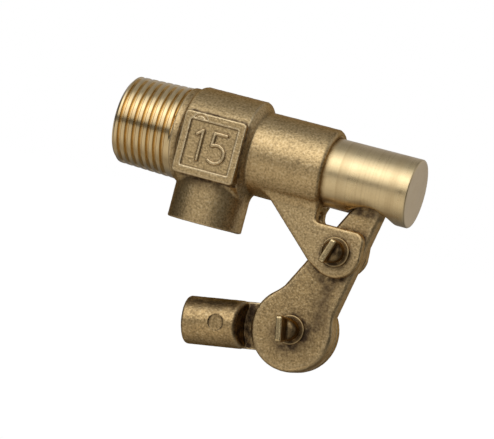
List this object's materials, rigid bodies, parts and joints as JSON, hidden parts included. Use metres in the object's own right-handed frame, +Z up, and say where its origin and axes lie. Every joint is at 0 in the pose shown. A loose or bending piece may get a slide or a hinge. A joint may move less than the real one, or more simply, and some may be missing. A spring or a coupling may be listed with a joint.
{
  "type": "float valve",
  "caption": "Brass float valve: a tipping lever pushes a piston that shuts off water between a threaded inlet and a downward spout; an adjustable socket takes the float rod.",
  "frame": {"origin": "centre of the inlet's end face, on the barrel's axis", "axes": "+X along the barrel from the inlet towards the piston, +Z up with the spout pointing down, -Y towards the side with the wing screws"},
  "size_m": [0.0714, 0.0244, 0.0585],
  "materials": {
    "cast_brass": "satin sand-cast, tumbled",
    "turned_brass": "turned",
    "rubber": "matte"
  },
  "bodies": {
    "housing": {"body": "cast_brass", "seat_nozzle": "turned_brass", "pivot_washer": "turned_brass"},
    "piston": {"piston": "turned_brass", "piston_ring": "rubber", "washer_cup": "turned_brass", "seat_washer": "rubber"},
    "lever": {"lever": "cast_brass", "clamp_washer": "turned_brass"},
    "arm": {"arm_socket": "cast_brass"},
    "pivot_screw": {"pivot_screw": "turned_brass"},
    "clamp_screw": {"clamp_screw": "turned_brass"}
  },
  "joints": [
    {"name": "lever_pivot", "type": "hinge", "parent": "housing", "child": "lever", "pos_m": [0.05795, 0, -0.01725], "axis": [0, -1, 0], "range_deg": [0, 28]},
    {"name": "piston_slide", "type": "slide", "parent": "housing", "child": "piston", "axis": [1, 0, 0], "range_m": [-0.0054, 0]},
    {"name": "arm_adjust", "type": "hinge", "parent": "lever", "child": "arm", "pos_m": [0.0516, 0, -0.037], "axis": [0, -1, 0], "range_deg": [-30, 175]},
    {"name": "pivot_screw_turn", "type": "hinge", "parent": "housing", "child": "pivot_screw", "pos_m": [0.05795, 0, -0.01725], "axis": [0, -1, 0], "range_deg": [0, 270]},
    {"name": "clamp_screw_turn", "type": "hinge", "parent": "lever", "child": "clamp_screw", "pos_m": [0.0516, 0, -0.037], "axis": [0, -1, 0], "range_deg": [0, 270]}
  ],
  "couplings": [
    {"joint": "piston_slide", "follows": "lever_pivot", "m_per_rad": -0.01104}
  ]
}
